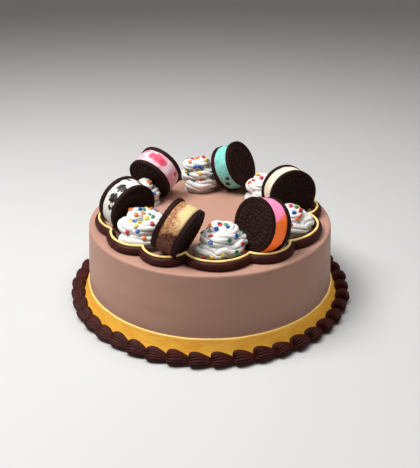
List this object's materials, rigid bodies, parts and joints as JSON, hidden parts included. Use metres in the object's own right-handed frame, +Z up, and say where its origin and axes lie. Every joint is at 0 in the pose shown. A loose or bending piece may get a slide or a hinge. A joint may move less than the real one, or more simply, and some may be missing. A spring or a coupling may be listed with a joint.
{
  "type": "ice cream cake",
  "caption": "Round iced ice cream cake with a piped shell border, a scalloped fudge rope on top, upright ice cream sandwich cookies and sprinkled whipped cream rosettes.",
  "frame": {"origin": "middle of the cake's underside, on the surface that it stands on", "axes": "+Z up through the middle of the cake; -Y towards the side that faces the viewer in the picture, +X to that viewer's right"},
  "size_m": [0.2734, 0.2734, 0.1271],
  "materials": {
    "mocha_icing": "smooth spread icing, satin",
    "yellow_icing": "smooth spread icing, satin",
    "lemon_icing": "soft gloss",
    "fudge": "dark soft gloss",
    "wafer": "dry, embossed, nearly black baked cocoa wafer",
    "whipped_cream": "soft matte",
    "ice_chunk": "frozen, slightly icy, with flecks or swirls",
    "ice_toffee": "frozen, slightly icy, with flecks or swirls",
    "ice_sorbet": "frozen, slightly icy, with flecks or swirls",
    "ice_vanilla": "frozen, slightly icy, with flecks or swirls",
    "ice_mint": "frozen, slightly icy, with flecks or swirls",
    "ice_pink": "frozen, slightly icy, with flecks or swirls",
    "sprinkle_blue": "sugar shell, soft gloss",
    "sprinkle_green": "sugar shell, soft gloss",
    "sprinkle_red": "sugar shell, soft gloss",
    "sprinkle_yellow": "sugar shell, soft gloss",
    "sprinkle_orange": "sugar shell, soft gloss"
  },
  "bodies": {
    "root": {"cake": "mocha_icing", "yellow_band": "yellow_icing", "shell_border": "fudge", "fudge_rope": "fudge", "yellow_line": "lemon_icing", "chunk_wafer_near": "wafer", "chunk_wafer_far": "wafer", "chunk_ice_cream": "ice_chunk", "toffee_wafer_near": "wafer", "toffee_wafer_far": "wafer", "toffee_ice_cream": "ice_toffee", "sorbet_wafer_near": "wafer", "sorbet_wafer_far": "wafer", "sorbet_ice_cream": "ice_sorbet", "vanilla_wafer_near": "wafer", "vanilla_wafer_far": "wafer", "vanilla_ice_cream": "ice_vanilla", "mint_wafer_near": "wafer", "mint_wafer_far": "wafer", "mint_ice_cream": "ice_mint", "pink_wafer_near": "wafer", "pink_wafer_far": "wafer", "pink_ice_cream": "ice_pink", "rosette_1": "whipped_cream", "rosette_2": "whipped_cream", "rosette_3": "whipped_cream", "rosette_4": "whipped_cream", "rosette_5": "whipped_cream", "rosette_6": "whipped_cream"}
  },
  "joints": []
}
